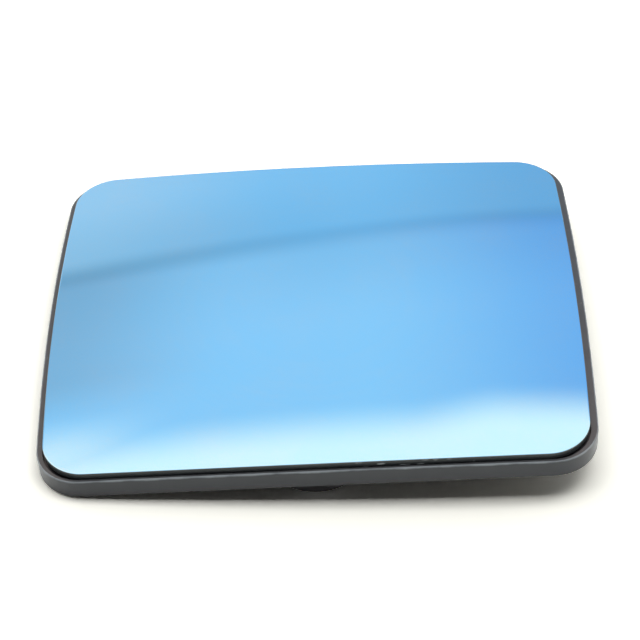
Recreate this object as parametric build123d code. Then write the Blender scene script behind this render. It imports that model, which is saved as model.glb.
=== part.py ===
from build123d import *
import os

# Car door mirror glass: a convex mirror on a heater foil, bonded into a moulded holder
# that clips over the adjusting motor by a collar on its back.
# X runs along the lower edge, Y towards the upper edge and Z out of the mirror face.
# The origin lies on the collar's axis, in the plane of the collar's mouth.

# Mirror glass
face_radius = 1400.0
glass_width = 145.6
glass_height = 122.8
left_swell = 2.2
right_swell = 1.6
lower_swell = 1.6
upper_swell = 0.4
lower_lean = 0.3
upper_lean = 0.2
corner_radius = 11.2
glass_thickness = 2.0

# Heater foil and bonding foam behind the glass
foil_thickness = 0.4
foil_inset = 3.0
foam_thickness = 0.8
foam_inset = 1.5

# Holder: rim, floor and skirt
glass_gap = 0.2
glass_proud = 1.8
rim_left = 1.8
rim_right = 2.2
rim_lower = 1.1
rim_upper = 1.5
rim_round = 0.4
floor_thickness = 1.8
skirt_depth = 2.2
skirt_wall = 1.6

# Collar that snaps over the motor
collar_depth = 7.5
bore_radius = 23.6
collar_wall = 2.4
collar_chamfer = 0.6
window_count = 4
window_width = 8.0
window_height = 3.0
window_from_mouth = 2.4
window_turn = 22.5

# Ribs on the back, with gussets against the collar
rib_count = 8
rib_thickness = 1.4
rib_below_foot = 0.3
gusset_length = 9.0
gusset_from_mouth = 2.0

# Half-round locating lug behind the lower edge
lug_radius = 13.0
lug_thickness = 3.2
lug_setback = 2.7
lug_reach = 2.0
lug_chamfer = 0.5

# Heater terminals
tab_from_collar = 12.0
tab_spacing = 20.0
tab_width = 6.3
tab_thickness = 0.8
tab_reach = 4.2
tab_taper = 1.2
tab_taper_length = 1.8
tab_hole_radius = 0.8
tab_hole_from_tip = 4.5
tab_foot_length = 8.0
slot_clearance = 0.5
foot_clearance = 0.3
guard_wall = 1.2

# Depths below the mirror face, measured along the sphere's radius
foil_depth = glass_thickness
foam_depth = foil_depth + foil_thickness
floor_depth = foam_depth + foam_thickness
root_depth = floor_depth + floor_thickness / 2
back_depth = floor_depth + floor_thickness
foot_depth = back_depth + skirt_depth
rib_depth = foot_depth - rib_below_foot

# Places in the part's own frame
apex = collar_depth + back_depth
collar_radius = bore_radius + collar_wall
tab_x = collar_radius + tab_from_collar
holder_front = -glass_height / 2 - lower_swell - rim_lower


def ball(depth):
    """Ball whose surface runs this far below the mirror face, with its poles at the sides."""
    return Pos(0, 0, apex - face_radius) * Sphere(face_radius - depth, rotation=(90, 0, 0))


def layer(sheet, top_depth, bottom_depth):
    """Curved layer of a plan shape, between two depths below the mirror face."""
    block = extrude(sheet, apex + glass_width, both=True) & ball(top_depth)
    return block - ball(bottom_depth)


def outline(left, right, lower, upper):
    """Mirror outline with its edges swelled to arcs, grown by these amounts. It is taller on the left."""
    x_left = -glass_width / 2 - left
    x_right = glass_width / 2 + right
    low = -glass_height / 2 - lower
    high = glass_height / 2 + upper
    middle = (low + high) / 2
    low_left = (x_left, low - lower_lean)
    low_right = (x_right, low + lower_lean)
    high_right = (x_right, high - upper_lean)
    high_left = (x_left, high + upper_lean)
    edges = [
        ThreePointArc(low_left, (0, low - lower_swell), low_right),
        ThreePointArc(low_right, (x_right + right_swell, middle), high_right),
        ThreePointArc(high_right, (0, high + upper_swell), high_left),
        ThreePointArc(high_left, (x_left - left_swell, middle), low_left),
    ]
    sheet = make_face(edges)
    sheet = fillet(sheet.vertices().sort_by(Axis.X)[:2], corner_radius + left)
    return fillet(sheet.vertices().sort_by(Axis.X)[-2:], corner_radius + right)


def inset_outline(inset):
    """Mirror outline drawn in by the same amount all round."""
    return outline(-inset, -inset, -inset, -inset)


def holder_outline(inset):
    """Outline of the holder's rim, drawn in by the same amount all round."""
    return outline(rim_left - inset, rim_right - inset, rim_lower - inset, rim_upper - inset)


def mirror_glass():
    """Convex pane."""
    return layer(inset_outline(0), 0, glass_thickness)


def heater_foil():
    """Printed foil that warms the glass."""
    return layer(inset_outline(foil_inset), foil_depth, foam_depth)


def tab_places():
    """Where the two blades stand, below and above the collar's level line."""
    return [Pos(tab_x, side * tab_spacing / 2) for side in (-1, 1)]


def foot_sheet(grow):
    """Plan of a terminal's foot, which runs outwards from its blade."""
    foot = Rectangle(tab_foot_length + 2 * grow, tab_width + 2 * grow)
    return Pos((tab_foot_length - tab_thickness) / 2, 0) * foot


def blade_sheet(grow):
    """Plan of a terminal's blade."""
    return Rectangle(tab_thickness + 2 * grow, tab_width + 2 * grow)


def bonding_foam():
    """Double-sided foam, cut out round the feet of the terminals."""
    sheet = inset_outline(foam_inset)
    for place in tab_places():
        sheet -= place * foot_sheet(foot_clearance)
    return layer(sheet, foam_depth, floor_depth)


def heater_terminal(place):
    """Bent strip: a foot against the foil, and a blade that stands out of the holder's back."""
    half = tab_width / 2
    tip = -tab_reach
    profile = Polyline(
        (-half, apex),
        (-half, tip + tab_taper_length),
        (-half + tab_taper, tip),
        (half - tab_taper, tip),
        (half, tip + tab_taper_length),
        (half, apex),
        close=True,
    )
    blade = extrude(Plane.YZ * make_face(profile), tab_thickness / 2, both=True)
    hole = Cylinder(tab_hole_radius, 2 * tab_thickness, rotation=(0, 90, 0))
    blade -= Pos(0, 0, tip + tab_hole_from_tip) * hole
    foot = layer(place * foot_sheet(0), foam_depth, floor_depth)
    return foot + (place * blade & ball(foam_depth))


def tray():
    """Rim, floor and skirt of the holder, hollow in front for the glass and hollow behind."""
    block = layer(holder_outline(0), glass_proud, foot_depth)
    block = fillet(block.faces().sort_by(Axis.Z)[-1].edges(), rim_round)
    block -= layer(inset_outline(-glass_gap), 0, floor_depth)
    return block - layer(holder_outline(skirt_wall), back_depth, foot_depth + skirt_depth)


def collar():
    """Ring on the back, with windows for the motor's hooks."""
    ring = extrude(Circle(collar_radius), apex)
    ring = chamfer(ring.faces().sort_by(Axis.Z)[0].edges(), collar_chamfer)
    ring -= extrude(Circle(bore_radius), apex)
    middle = Pos(bore_radius + collar_wall / 2, 0, window_from_mouth + window_height / 2)
    window = middle * Box(2 * collar_wall, window_width, window_height)
    for turn in range(window_count):
        ring -= Rot(0, 0, window_turn + turn * 360 / window_count) * window
    return ring & ball(root_depth)


def ribs():
    """Radial ribs from the collar to the skirt, each with a gusset against the collar."""
    inner = collar_radius - collar_wall / 2
    spoke = extrude(Pos(glass_width / 2 + inner, 0) * Rectangle(glass_width, rib_thickness), apex)
    profile = Polyline(
        (inner, gusset_from_mouth),
        (inner, apex),
        (collar_radius + gusset_length, apex),
        (collar_radius + gusset_length, apex - back_depth),
        close=True,
    )
    gusset = extrude(Plane.XZ * make_face(profile), rib_thickness / 2, both=True)
    turns = [Rot(0, 0, turn * 360 / rib_count) for turn in range(rib_count)]
    spokes = Part() + [turn * spoke for turn in turns]
    gussets = Part() + [turn * gusset for turn in turns]
    low = spokes & layer(holder_outline(skirt_wall / 2), root_depth, rib_depth)
    return low + (gussets & ball(root_depth))


def lug():
    """Half-round lug that stands out of the back, close behind the lower edge."""
    disc = Cylinder(lug_radius, lug_thickness, rotation=(90, 0, 0))
    disc = chamfer(disc.edges().filter_by(GeomType.CIRCLE), lug_chamfer)
    place = Pos(0, holder_front + lug_setback + lug_thickness / 2, lug_radius - lug_reach)
    return place * disc & ball(root_depth)


def backing_plate():
    """The holder, moulded in one piece, with a guarded slot for each terminal."""
    plate = tray() + collar() + ribs() + lug()
    for place in tab_places():
        plate += layer(place * blade_sheet(slot_clearance + guard_wall), root_depth, rib_depth)
        plate -= layer(place * blade_sheet(slot_clearance), 0, foot_depth + skirt_depth)
    return plate


os.makedirs("parts", exist_ok=True)
export_step(mirror_glass(), "parts/mirror_glass.step")
export_step(heater_foil(), "parts/heater_foil.step")
export_step(bonding_foam(), "parts/bonding_foam.step")
export_step(backing_plate(), "parts/backing_plate.step")
for name, place in zip(("lower", "upper"), tab_places()):
    export_step(heater_terminal(place), f"parts/heater_terminal_{name}.step")
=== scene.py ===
import math

import bpy
from mathutils import Matrix, Vector


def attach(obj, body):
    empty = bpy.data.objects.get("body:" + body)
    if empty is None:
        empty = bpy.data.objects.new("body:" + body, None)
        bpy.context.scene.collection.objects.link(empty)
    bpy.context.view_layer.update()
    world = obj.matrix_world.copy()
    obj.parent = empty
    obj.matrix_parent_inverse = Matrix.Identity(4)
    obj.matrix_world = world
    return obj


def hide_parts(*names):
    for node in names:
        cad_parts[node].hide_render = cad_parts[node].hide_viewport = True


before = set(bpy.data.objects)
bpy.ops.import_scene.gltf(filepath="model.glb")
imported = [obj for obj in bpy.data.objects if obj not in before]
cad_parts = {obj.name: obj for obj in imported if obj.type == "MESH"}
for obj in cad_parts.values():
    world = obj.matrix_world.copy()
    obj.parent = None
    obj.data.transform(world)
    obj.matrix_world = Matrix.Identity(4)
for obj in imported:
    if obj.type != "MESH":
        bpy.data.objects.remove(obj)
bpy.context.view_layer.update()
bpy.context.scene.view_settings.view_transform = "Standard"


# Holder: the tray that carries the glass, injection moulded in one piece from black plastic.
# The tool's fine eroded grain is on every face, and handling has rubbed the sharp edges pale.
# The collar on its back clips over the adjusting motor inside the mirror housing.

holder_black = (0.029, 0.025, 0.028, 1)
holder_rubbed = (0.115, 0.115, 0.12, 1)
# Pale worn plastic, also used for the painted highlight on the lip and the painted reflection on the
# wall.
holder_wear_and_highlight = (0.33, 0.363, 0.388, 1)
holder_dust = (0.36, 0.35, 0.33, 1)
holder_gleam = (0.78, 0.90, 1.0, 1)
holder_roughness = (0.265, 0.36)
holder_relief = 0.00001
face_radius = 1.4
face_apex = 0.0125
lip_depth = 0.0018
lip_top = face_radius - lip_depth


def node(tree, kind, inputs=(), **options):
    """New shader node. An input is a value, or the output of another node to link to it."""
    made = tree.nodes.new("ShaderNode" + kind)
    for option, value in options.items():
        setattr(made, option, value)
    for socket, value in dict(inputs).items():
        if isinstance(value, bpy.types.NodeSocket):
            tree.links.new(value, made.inputs[socket])
        else:
            made.inputs[socket].default_value = value
    return made


def finish(name, **values):
    """New material with these plain values on its Principled shader: material, tree, shader."""
    material = bpy.data.materials.new(name)
    material.use_nodes = True
    shader = material.node_tree.nodes["Principled BSDF"]
    for socket, value in values.items():
        shader.inputs[socket.replace("_", " ")].default_value = value
    return material, material.node_tree, shader


def effect(name, inputs, outputs):
    """New node group with number sockets: its tree, and its inputs and outputs by name."""
    tree = bpy.data.node_groups.new(name, "ShaderNodeTree")
    for label, value in inputs.items():
        socket = tree.interface.new_socket(label, in_out="INPUT", socket_type="NodeSocketFloat")
        socket.default_value = value
    for label in outputs:
        tree.interface.new_socket(label, in_out="OUTPUT", socket_type="NodeSocketFloat")
    start = tree.nodes.new("NodeGroupInput")
    end = tree.nodes.new("NodeGroupOutput")
    return tree, start.outputs, end.inputs


def place(tree, group, **values):
    """A node group set into a material, with its own values."""
    made = tree.nodes.new("ShaderNodeGroup")
    made.node_tree = group
    for socket, value in values.items():
        made.inputs[socket].default_value = value
    return made.outputs


def object_spot(tree):
    """Place on the surface, in the object's own coordinates."""
    return node(tree, "TexCoord").outputs["Object"]


def noise(tree, spot, scale, detail):
    """Noise between 0 and 1."""
    return node(tree, "TexNoise", {"Vector": spot, "Scale": scale, "Detail": detail}).outputs["Fac"]


def ranged(tree, value, limits, results=(0.0, 1.0), steps="LINEAR"):
    """Number that goes from the first result to the second as a value goes from limit to limit."""
    inputs = {"Value": value, "From Min": limits[0], "From Max": limits[1]}
    inputs.update({"To Min": results[0], "To Max": results[1]})
    return node(tree, "MapRange", inputs, interpolation_type=steps).outputs[0]


def joined(tree, first, operation, second):
    """Two numbers joined by an operation."""
    return node(tree, "Math", {0: first, 1: second}, operation=operation).outputs[0]


def blend_colours(tree, share, first, second, way="MIX"):
    """Colour that goes from the first to the second by a share."""
    mix = node(tree, "Mix", {"Factor": share, 6: first, 7: second}, data_type="RGBA", blend_type=way)
    return mix.outputs[2]


def colour_by(tree, shader, colour):
    """Link a colour that varies over the surface to a shader."""
    tree.links.new(colour, shader.inputs["Base Color"])


def gloss_by(tree, shader, value, roughness):
    """Roughness of a shader between two values, by a number from 0 to 1."""
    tree.links.new(ranged(tree, value, (0.0, 1.0), roughness), shader.inputs["Roughness"])


def relief_by(tree, shader, height, depth):
    """Relief of this depth in metres on a shader."""
    bump = node(tree, "Bump", {"Height": height, "Distance": depth})
    tree.links.new(bump.outputs["Normal"], shader.inputs["Normal"])


def paint(piece, *materials):
    """Give a piece or a CAD node its materials, in the order of its slots."""
    if len(piece.material_slots) < len(materials):
        piece.data.materials.clear()
        for material in materials:
            piece.data.materials.append(material)
    for slot, material in zip(piece.material_slots, materials):
        slot.material = material


# Eroded grain: fine even pits, with slow cloudy changes where the melt flowed.
cloud_scale = 55.0

grain, given, grain_out = effect("eroded_grain", {"Scale": 2500.0}, ("Pits", "Clouds"))
spot = object_spot(grain)
grain.links.new(noise(grain, spot, given["Scale"], detail=3.0), grain_out["Pits"])
grain.links.new(noise(grain, spot, cloud_scale, detail=4.0), grain_out["Clouds"])

# Rubbed edges: where the faces turn within the given radius, broken up as by handling.
turn_limits = (0.98, 0.75)
turn_samples = 6
patch_limits = (0.3, 0.7)

rub, given, rub_out = effect("rubbed_edges", {"Radius": 0.0004, "Scale": 400.0}, ("Mask",))
rounded = node(rub, "Bevel", {"Radius": given["Radius"]}, samples=turn_samples).outputs["Normal"]
facing = node(rub, "NewGeometry").outputs["Normal"]
agree = node(rub, "VectorMath", {0: rounded, 1: facing}, operation="DOT_PRODUCT").outputs["Value"]
turned = ranged(rub, agree, turn_limits)
patches = noise(rub, object_spot(rub), given["Scale"], detail=4.0)
broken = ranged(rub, patches, patch_limits)
rub.links.new(joined(rub, turned, "MULTIPLY", broken), rub_out["Mask"])

# Settled dust: scattered specks, only where a face looks up.
upward_limits = (0.4, 0.9)

dust, given, dust_out = effect("settled_dust", {"Scale": 900.0, "Least": 0.66}, ("Mask",))
specks = noise(dust, object_spot(dust), given["Scale"], detail=2.0)
shown = ranged(dust, specks, (given["Least"], 1.0))
facing = node(dust, "SeparateXYZ", {0: node(dust, "NewGeometry").outputs["Normal"]}).outputs["Z"]
upward = ranged(dust, facing, upward_limits)
dust.links.new(joined(dust, shown, "MULTIPLY", upward), dust_out["Mask"])

plastic, tree, shader = finish(
    "grained_plastic",
    Specular_IOR_Level=0.52,
    Specular_Tint=holder_gleam,
    Sheen_Weight=0.27,
    Sheen_Roughness=0.35,
    Sheen_Tint=holder_gleam,
)
texture = place(tree, grain, Scale=2600.0)
rubbed = place(tree, rub, Radius=0.0004, Scale=500.0)
dusty = place(tree, dust, Scale=1100.0, Least=0.68)
edge = blend_colours(tree, rubbed["Mask"], holder_black, holder_rubbed)

# The wall is painted a little lighter towards the rim, a painted reflection of the bright floor
# beyond the shadow at its foot. The rim's lip is worn pale and painted paler still as a painted
# highlight, most on its round, down to an uneven line. Heights are measured from the centre of the
# glass's sphere.
wall_light_limits = (lip_top - 0.0045, lip_top)
wall_light_share = 0.06
lip_limits = (lip_top - 0.0003, lip_top + 0.0002)
lip_ragged_reach = 0.0004
ragged_scale = 160.0
round_limits = (0.995, 0.93)
flat_share = 0.1

spot = object_spot(tree)
centre = (0, 0, face_apex - face_radius)
height = node(tree, "VectorMath", {0: spot, 1: centre}, operation="DISTANCE").outputs["Value"]
# Painted reflection: the wall is painted lighter towards the rim.
wall_lit_towards_rim = blend_colours(tree, ranged(tree, height, wall_light_limits, (0.0, wall_light_share)), edge, holder_wear_and_highlight)
ragged = ranged(tree, noise(tree, spot, ragged_scale, detail=6.0), patch_limits, (0.0, lip_ragged_reach))
near_top = ranged(tree, joined(tree, height, "ADD", ragged), lip_limits)
facing = node(tree, "SeparateXYZ", {0: node(tree, "NewGeometry").outputs["Normal"]}).outputs["Z"]
on_round = ranged(tree, facing, round_limits, (flat_share, 1.0))
# Painted highlight with some wear: the lip's round is painted pale, the flat less.
lip_wear_and_highlight = blend_colours(tree, joined(tree, near_top, "MULTIPLY", on_round), wall_lit_towards_rim, holder_wear_and_highlight)
colour_by(tree, shader, blend_colours(tree, dusty["Mask"], lip_wear_and_highlight, holder_dust))
gloss_by(tree, shader, texture["Clouds"], holder_roughness)
relief_by(tree, shader, texture["Pits"], holder_relief)
paint(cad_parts["backing_plate"], plastic)


# Bonding foam: a sheet of black closed-cell acrylic foam with adhesive on both faces, die cut
# to the tray and left open round the terminals' feet. It holds the heater foil to the holder.

foam_black = (0.013, 0.013, 0.014, 1)
foam_grey = (0.03, 0.03, 0.031, 1)
foam_roughness = (0.75, 0.95)
foam_relief = 0.00008

foam, tree, shader = finish("acrylic_foam", Specular_IOR_Level=0.3)
texture = place(tree, grain, Scale=1500.0)
colour_by(tree, shader, blend_colours(tree, texture["Clouds"], foam_black, foam_grey))
gloss_by(tree, shader, texture["Pits"], foam_roughness)
relief_by(tree, shader, texture["Pits"], foam_relief)
paint(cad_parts["bonding_foam"], foam)


# Heater foil: polyester film printed with rows of carbon ink that warm the glass, stuck to the
# back of the mirror. The terminals' feet feed the ink.

film_amber = (0.28, 0.16, 0.07, 1)
carbon_ink = (0.02, 0.02, 0.021, 1)
film_roughness = (0.25, 0.6)
row_spacing = 0.006
row_limits = (-0.3, -0.1)

film, tree, shader = finish("printed_film", Coat_Weight=0.4)
across = node(tree, "SeparateXYZ", {0: object_spot(tree)}).outputs["Y"]
phase = joined(tree, across, "MULTIPLY", 2 * math.pi / row_spacing)
wave = node(tree, "Math", {0: phase}, operation="SINE").outputs[0]
inked = ranged(tree, wave, row_limits)
colour_by(tree, shader, blend_colours(tree, inked, film_amber, carbon_ink))
gloss_by(tree, shader, inked, film_roughness)
paint(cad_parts["heater_foil"], film)


# Heater terminals: two blades stamped and bent from brass strip, each with a foot soldered to
# the foil. They stand out through guarded slots in the holder to take the loom's push-on plugs.

brass_bright = (0.80, 0.60, 0.29, 1)
brass_dull = (0.52, 0.37, 0.17, 1)
brass_rubbed = (0.92, 0.78, 0.50, 1)
brass_roughness = (0.22, 0.45)
brass_relief = 0.000006
rolled_scale = (4000.0, 4000.0, 120.0)

brass, tree, shader = finish("stamped_brass", Metallic=1.0)
rolled = node(tree, "Mapping", {"Vector": object_spot(tree), "Scale": rolled_scale}).outputs[0]
streaks = noise(tree, rolled, scale=1.0, detail=4.0)
rubbed = place(tree, rub, Radius=0.0002, Scale=900.0)
sheet = blend_colours(tree, streaks, brass_dull, brass_bright)
colour_by(tree, shader, blend_colours(tree, rubbed["Mask"], sheet, brass_rubbed))
gloss_by(tree, shader, streaks, brass_roughness)
relief_by(tree, shader, streaks, brass_relief)
for side in ("lower", "upper"):
    paint(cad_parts["heater_terminal_" + side], brass)


# Mirror glass: a pane of 2 mm float glass sagged to a slight dome, with a blue reflecting film.
# It is cut to the outline, its edge is ground, and the foil behind it holds it in the tray.

pane_width = 0.1456
pane_height = 0.1228
left_swell = 0.0022
right_swell = 0.0016
lower_swell = 0.0016
upper_swell = 0.0004
lower_lean = 0.0003
upper_lean = 0.0002
pane_corner = 0.0112
pane_thickness = 0.002
corner_steps = 16
side_cuts = 40
ring_count = 26
edge_ring = 0.994

bpy.ops.object.select_all(action="DESELECT")
bpy.ops.mesh.primitive_plane_add(size=1)
pane = bpy.context.object
pane.name = "glass_pane"
pane.scale = (pane_width, pane_height, 1)
bpy.ops.object.transform_apply(location=False, rotation=False, scale=True)

# The sheet is a little taller on its left. Its corners are rounded, and its straight sides divided.
for point in pane.data.vertices:
    lean = lower_lean if point.co.y < 0 else -upper_lean
    point.co.y += lean if point.co.x > 0 else -lean
bpy.context.tool_settings.mesh_select_mode = (True, False, False)
bpy.ops.object.mode_set(mode="EDIT")
bpy.ops.mesh.select_all(action="SELECT")
bpy.ops.mesh.bevel(affect="VERTICES", offset=pane_corner, segments=corner_steps)
bpy.ops.mesh.select_all(action="SELECT")
bpy.ops.mesh.delete(type="ONLY_FACE")
bpy.ops.mesh.select_mode(type="EDGE")
bpy.ops.mesh.select_all(action="DESELECT")
bpy.ops.object.mode_set(mode="OBJECT")
corners = pane.data.vertices
for side in pane.data.edges:
    start, end = (corners[index].co for index in side.vertices)
    side.select = (end - start).length > pane_corner
bpy.ops.object.mode_set(mode="EDIT")
bpy.ops.mesh.subdivide(number_cuts=side_cuts)
bpy.ops.mesh.select_all(action="SELECT")
bpy.ops.mesh.edge_face_add()
bpy.ops.mesh.flip_normals()

# The sides are swelled out to arcs.
bpy.ops.object.mode_set(mode="OBJECT")
for point in pane.data.vertices:
    across = point.co.x / (pane_width / 2)
    along = point.co.y / (pane_height / 2)
    point.co.x += across * (right_swell if across > 0 else left_swell) * (1 - along**2)
    point.co.y += along * (upper_swell if along > 0 else lower_swell) * (1 - across**2)

# Rings are drawn in towards the middle, and the sheet is sagged onto its sphere.
bpy.ops.object.mode_set(mode="EDIT")
bpy.ops.mesh.select_mode(type="FACE")
bpy.ops.mesh.select_all(action="SELECT")
last_share = 1.0
for share in [edge_ring] + [1 - step / ring_count for step in range(1, ring_count)]:
    shrink = share / last_share
    bpy.ops.mesh.inset(thickness=0)
    bpy.ops.transform.resize(value=(shrink, shrink, 1), center_override=(0, 0, 0))
    last_share = share
bpy.ops.mesh.poke()
bpy.ops.object.mode_set(mode="OBJECT")
for point in pane.data.vertices:
    spread = point.co.x**2 + point.co.y**2
    point.co.z = face_apex - face_radius + math.sqrt(face_radius**2 - spread)

# The pane gets its thickness, and its edges are ground.
edge_slot = 1
back_slot = 2
arris_slot = 3
ground_width = 0.00014
ground_steps = 3
ground_angle = math.radians(50)
smooth_angle = math.radians(40)

wall = pane.modifiers.new("thickness", "SOLIDIFY")
wall.thickness = pane_thickness
wall.offset = -1
wall.material_offset_rim = edge_slot
wall.material_offset = back_slot
grind = pane.modifiers.new("ground_edge", "BEVEL")
grind.width = ground_width
grind.segments = ground_steps
grind.limit_method = "ANGLE"
grind.angle_limit = ground_angle
grind.material = arris_slot

# Front: the blue film, with a little dust on it.
blue_film = (0.188, 0.568, 0.975, 1)
blue_film_thick = (0.198, 0.578, 0.975, 1)
pane_dust = (0.42, 0.52, 0.62, 1)
film_polish = (0.02, 0.05)

mirror, tree, shader = finish("blue_mirror", Metallic=1.0, Coat_Weight=1.0, Coat_Roughness=0.01)
texture = place(tree, grain, Scale=300.0)
dusty = place(tree, dust, Scale=1500.0, Least=0.72)
film_colour = blend_colours(tree, texture["Clouds"], blue_film, blue_film_thick)
colour_by(tree, shader, blend_colours(tree, dusty["Mask"], film_colour, pane_dust))
gloss_by(tree, shader, texture["Clouds"], film_polish)

# Edge: ground glass that looks dark from outside, chipped along a stretch of the lower side. The
# chips are real, and their pale colour is a painted glint.
edge_dark = (0.019, 0.024, 0.027, 1)
edge_chip_glint = (0.38, 0.42, 0.43, 1)
edge_roughness = (0.3, 0.5)
edge_relief = 0.00002
chip_scale = (260.0, 260.0, 900.0)
chip_limits = (0.34, 0.22)
chipped_from = (0.010, 0.011)
chipped_to = (0.042, 0.041)

ground, tree, shader = finish("ground_glass_edge", Specular_IOR_Level=0.5)
texture = place(tree, grain, Scale=2200.0)
spot = object_spot(tree)
stretched = node(tree, "Mapping", {"Vector": spot, "Scale": chip_scale}).outputs[0]
cells = node(tree, "TexVoronoi", {"Vector": stretched, "Scale": 1.0}).outputs["Distance"]
chips = ranged(tree, cells, chip_limits)
along_edge = node(tree, "SeparateXYZ", {0: spot}).outputs
after = ranged(tree, along_edge["X"], chipped_from)
before = ranged(tree, along_edge["X"], chipped_to)
lower = joined(tree, along_edge["Y"], "LESS_THAN", 0.0)
stretch = joined(tree, joined(tree, after, "MULTIPLY", before), "MULTIPLY", lower)
chip_glints = joined(tree, chips, "MULTIPLY", stretch)
# Painted glints on the chips along the lower edge.
colour_by(tree, shader, blend_colours(tree, chip_glints, edge_dark, edge_chip_glint))
gloss_by(tree, shader, texture["Pits"], edge_roughness)
relief_by(tree, shader, texture["Pits"], edge_relief)

# Back: the paint that guards the film.
back_paint = (0.11, 0.11, 0.115, 1)
back_paint_thin = (0.16, 0.16, 0.165, 1)
back_roughness = (0.45, 0.65)

coat, tree, shader = finish("back_coat")
texture = place(tree, grain, Scale=900.0)
colour_by(tree, shader, blend_colours(tree, texture["Clouds"], back_paint, back_paint_thin))
gloss_by(tree, shader, texture["Pits"], back_roughness)

# Arris: the narrow ground bevels along both sides of the edge.
arris_grey = (0.07, 0.085, 0.085, 1)
arris_pale = (0.16, 0.185, 0.185, 1)
arris_limits = (0.45, 0.65)
arris_roughness = (0.25, 0.45)

arris, tree, shader = finish("ground_arris", Specular_IOR_Level=0.5)
texture = place(tree, grain, Scale=1800.0)
bare = ranged(tree, texture["Clouds"], arris_limits)
colour_by(tree, shader, blend_colours(tree, bare, arris_grey, arris_pale))
gloss_by(tree, shader, texture["Pits"], arris_roughness)

paint(pane, mirror, ground, coat, arris)
for modifier in (wall, grind):
    bpy.ops.object.modifier_apply(modifier=modifier.name)
bpy.ops.object.shade_smooth_by_angle(angle=smooth_angle)
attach(pane, "root")
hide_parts("mirror_glass")


# Stage: the part lies on its back on a white floor, propped up a little on its right side by
# the terminals. Soft light comes from a lamp overhead, from the ceiling behind the part and
# from both sides of the room. The mirror shows the ceiling.

lie_tilt = math.radians(3.28)
level = Matrix.Rotation(lie_tilt, 4, "Y")
white = (1, 1, 1, 1)


def stage_sheet(name, size, where):
    """Flat sheet of the stage."""
    bpy.ops.object.select_all(action="DESELECT")
    bpy.ops.mesh.primitive_plane_add(size=size)
    sheet = bpy.context.object
    sheet.name = name
    sheet.matrix_world = where
    return sheet


def seen_share(tree):
    """1 for rays of the eye, of reflections and through glass, and 0 for rays that carry light."""
    path = node(tree, "LightPath").outputs
    seen = joined(tree, path["Is Camera Ray"], "MAXIMUM", path["Is Glossy Ray"])
    return joined(tree, seen, "MAXIMUM", path["Is Transmission Ray"])


# Floor: white paper, bright to the eye, that runs out to plain white and is clear from below.
floor_level = -0.00205
floor_size = 6.0
floor_white = (0.97, 0.965, 0.90, 1)
floor_white_low = (0.95, 0.945, 0.88, 1)
floor_lift = 0.5
floor_runs_out = (0.25, 0.6)

floor = stage_sheet("floor", floor_size, level @ Matrix.Translation((0, 0, floor_level)))
paper, tree, shader = finish("white_paper", Roughness=0.9, Specular_IOR_Level=0.0)
texture = place(tree, grain, Scale=700.0)
colour = blend_colours(tree, texture["Clouds"], floor_white, floor_white_low)
lift = joined(tree, joined(tree, seen_share(tree), "MULTIPLY", floor_lift), "ADD", 1.0)
lifted = node(tree, "VectorMath", {0: colour, "Scale": lift}, operation="SCALE").outputs[0]
colour_by(tree, shader, lifted)
away = node(tree, "VectorMath", {0: object_spot(tree)}, operation="LENGTH").outputs["Value"]
far_off = ranged(tree, away, floor_runs_out)
glowing = node(tree, "Emission").outputs[0]
spread = node(tree, "MixShader", {0: far_off, 1: shader.outputs[0], 2: glowing}).outputs[0]
back_face = node(tree, "NewGeometry").outputs["Backfacing"]
passed = node(tree, "LightPath").outputs["Transparent Depth"]
under = node(tree, "Math", {0: back_face, 1: passed}, operation="ADD", use_clamp=True).outputs[0]
clear = node(tree, "BsdfTransparent").outputs[0]
surface = node(tree, "MixShader", {0: under, 1: spread, 2: clear}).outputs[0]
tree.links.new(surface, tree.nodes["Material Output"].inputs["Surface"])
paint(floor, paper)

# Lamp: a wide soft box overhead, a little behind the part and to its right.
lamp_height = 1.45
lamp_right = 0.1
lamp_back = 0.12
lamp_width = 1.6
lamp_depth = 0.65
lamp_power = 14.0

lamp = bpy.data.objects.new("lamp", bpy.data.lights.new("lamp", "AREA"))
lamp.data.shape = "RECTANGLE"
lamp.data.size = lamp_width
lamp.data.size_y = lamp_depth
lamp.data.energy = lamp_power
lamp.visible_glossy = False
bpy.context.scene.collection.objects.link(lamp)
lamp.matrix_world = level @ Matrix.Translation((lamp_right, lamp_back, lamp_height))

# Ceiling: white overhead, then a bright strip, a near part and a far part, with a soft dark seam
# between the two parts. Bands are in metres across the ceiling, depths along it from the viewer.
ceiling_height = 1.5
ceiling_size = 7.0
ceiling_pale = (0.95, 1.0, 1.0, 1)
ceiling_right = (0.56, 0.71, 0.90, 1)
right_band = (-0.1, 0.45)
ceiling_left = (0.80, 0.76, 0.74, 1)
left_band = (-0.3, -0.75)
left_depth = (1.28, 1.48)
ceiling_far_left = (1.10, 0.98, 0.91, 1)
ceiling_far = (0.72, 0.875, 0.925, 1)
far_left_band = (-0.75, -0.15)
ceiling_far_right = (0.53, 0.68, 0.77, 1)
far_right_band = (-0.15, 0.4)


def soft(tree, value, limits, results=(0.0, 1.0)):
    """Number that goes softly from the first result to the second between two limits."""
    return ranged(tree, value, limits, results, "SMOOTHSTEP")


def blend_numbers(tree, share, first, second):
    """Number that goes from the first to the second by a share."""
    return node(tree, "Mix", {"Factor": share, 2: first, 3: second}).outputs[0]


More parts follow.
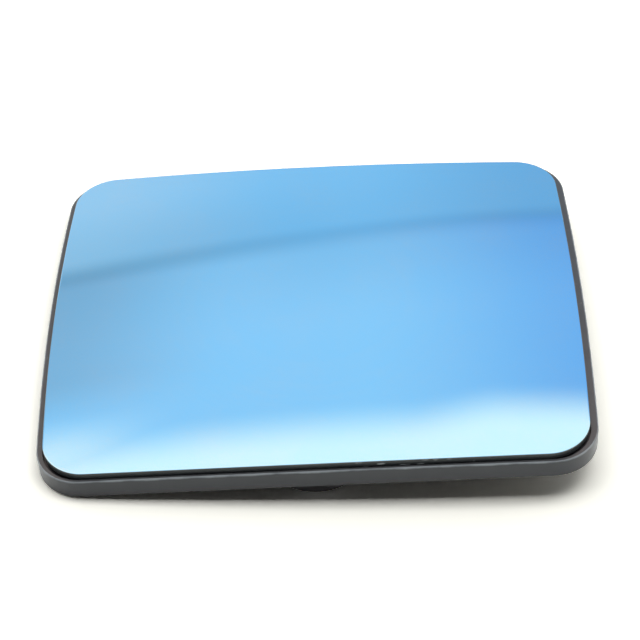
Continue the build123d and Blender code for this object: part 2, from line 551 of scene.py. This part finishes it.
above = Matrix.Translation((0, 0, face_apex)) @ level @ Matrix.Translation((0, 0, ceiling_height))
ceiling = stage_sheet("ceiling", ceiling_size, above)
glow = bpy.data.materials.new("ceiling_light")
glow.use_nodes = True
tree = glow.node_tree
tree.nodes.remove(tree.nodes["Principled BSDF"])
spot = node(tree, "SeparateXYZ", {0: object_spot(tree)}).outputs
across = spot["X"]
along = spot["Y"]
near = blend_colours(tree, soft(tree, across, right_band), ceiling_pale, ceiling_right)
leftwards = joined(tree, soft(tree, across, left_band), "MULTIPLY", soft(tree, along, left_depth))
near = blend_colours(tree, leftwards, near, ceiling_left)
far = blend_colours(tree, soft(tree, across, far_left_band), ceiling_far_left, ceiling_far)
far = blend_colours(tree, soft(tree, across, far_right_band), far, ceiling_far_right)

# The seam runs further off to the right. Its shade falls away on both sides, part of it slowly.
seam_band = (-0.45, 0.75)
seam_depth = (1.913, 2.038)
seam_blur = (-0.04, 0.04)
wide_band = (-0.5, -0.1)
wide_shares = (0.3, 0.6)
wide_fall = (-0.42, 0.0)
narrow_fall = (-0.08, 0.0)
slow_band = (0.45, -0.6)
slow_shares = (0.05, 0.47)
slow_fall = (0.45, 0.0)
quick_fall = (0.075, 0.0)
seam_left = (0.66, 0.735, 0.76, 1)
seam_right = (0.76, 0.80, 0.85, 1)
shade_band = (-0.6, 0.2)

past_seam = joined(tree, along, "SUBTRACT", soft(tree, across, seam_band, seam_depth))
both = blend_colours(tree, soft(tree, past_seam, seam_blur), near, far)
wide_share = soft(tree, across, wide_band, wide_shares)
narrow = soft(tree, past_seam, narrow_fall)
nearer = blend_numbers(tree, wide_share, narrow, soft(tree, past_seam, wide_fall))
slow_share = soft(tree, across, slow_band, slow_shares)
quick = soft(tree, past_seam, quick_fall)
further = blend_numbers(tree, slow_share, quick, soft(tree, past_seam, slow_fall))
shading = joined(tree, nearer, "MULTIPLY", further)
seam_shade = blend_colours(tree, soft(tree, across, shade_band), seam_left, seam_right)
shaded = blend_colours(tree, shading, both, seam_shade, way="MULTIPLY")

# The strip's edge bends a little, and its light reaches further in at the left.
strip_light = (2.5, 1.58, 1.1, 1)
strip_band = (0.0, 0.18)
strip_depth = (1.207, 1.25)
strip_blur = (0.07, -0.075)
corner_band = (-0.42, -0.68)
corner_depth = (1.35, 1.2)
corner_share = 0.74
overhead_depth = (0.9, 0.55)

into_strip = joined(tree, along, "SUBTRACT", soft(tree, across, strip_band, strip_depth))
corner = joined(tree, soft(tree, across, corner_band), "MULTIPLY", soft(tree, along, corner_depth))
corner_glow = joined(tree, corner, "MULTIPLY", corner_share)
in_light = joined(tree, soft(tree, into_strip, strip_blur), "MAXIMUM", corner_glow)
lit = blend_colours(tree, in_light, shaded, strip_light)
pictured = blend_colours(tree, soft(tree, along, overhead_depth), lit, white)

# What lights the part is the ceiling behind it, most of all its two wings.
ceiling_dim = (0.01, 0.01, 0.01, 1)
ceiling_back = (0.46, 0.46, 0.46, 1)
ceiling_wings = (1.35, 1.35, 1.35, 1)
wings_band = (0.4, 1.6)
back_depth = (-0.1, 0.7)

sideways = node(tree, "Math", {0: across}, operation="ABSOLUTE").outputs[0]
behind = blend_colours(tree, soft(tree, sideways, wings_band), ceiling_back, ceiling_wings)
lighting = blend_colours(tree, soft(tree, along, back_depth), ceiling_dim, behind)
path = node(tree, "LightPath").outputs
reflected = blend_colours(tree, path["Is Diffuse Ray"], pictured, lighting)
shown = blend_colours(tree, path["Is Camera Ray"], reflected, white)
emission = node(tree, "Emission", {"Color": shown}).outputs[0]
tree.links.new(emission, tree.nodes["Material Output"].inputs["Surface"])
paint(ceiling, glow)

# Room: dim on the viewer's side, bright at both sides and below, and white wherever it is seen.
room_dim = (0.02, 0.019, 0.017, 1)
room_back = (0.25, 0.245, 0.23, 1)
room_sides = (1.9, 1.86, 1.75, 1)
room_below = (1.1, 1.1, 1.1, 1)
back_limits = (-0.2, 0.6)
side_limits = (0.7, 0.95)
side_front_limits = (-0.2, 0.1)
below_limits = (0.0, -0.2)

world = bpy.data.worlds.new("studio")
bpy.context.scene.world = world
world.use_nodes = True
tree = world.node_tree
heading = node(tree, "SeparateXYZ", {0: node(tree, "TexCoord").outputs["Generated"]}).outputs
room = blend_colours(tree, soft(tree, heading["Y"], back_limits), room_dim, room_back)
sideways = node(tree, "Math", {0: heading["X"]}, operation="ABSOLUTE").outputs[0]
not_front = soft(tree, heading["Y"], side_front_limits)
beside = joined(tree, soft(tree, sideways, side_limits), "MULTIPLY", not_front)
room = blend_colours(tree, beside, room, room_sides)
room = blend_colours(tree, soft(tree, heading["Z"], below_limits), room, room_below)
shown = blend_colours(tree, seen_share(tree), room, white)
tree.links.new(shown, tree.nodes["Background"].inputs["Color"])


# Camera: looks down at the mirror from the front, level, with a long lens.

view_down = math.radians(43.0)
view_turn = math.radians(0.15)
view_distance = 0.543
view_target = Vector((0.00154, -0.00926, 0.0125))
view_lens = 108.4

looking = Vector((
    math.sin(view_turn) * math.cos(view_down),
    math.cos(view_turn) * math.cos(view_down),
    -math.sin(view_down),
))
right = Vector((math.cos(view_turn), -math.sin(view_turn), 0))
turned = Matrix((right, right.cross(looking), -looking)).transposed().to_4x4()
camera = bpy.data.objects.new("camera", bpy.data.cameras.new("camera"))
camera.data.lens = view_lens
bpy.context.scene.collection.objects.link(camera)
camera.matrix_world = (
    Matrix.Translation(view_target)
    @ level
    @ turned
    @ Matrix.Translation((0, 0, view_distance))
)
bpy.context.scene.camera = camera
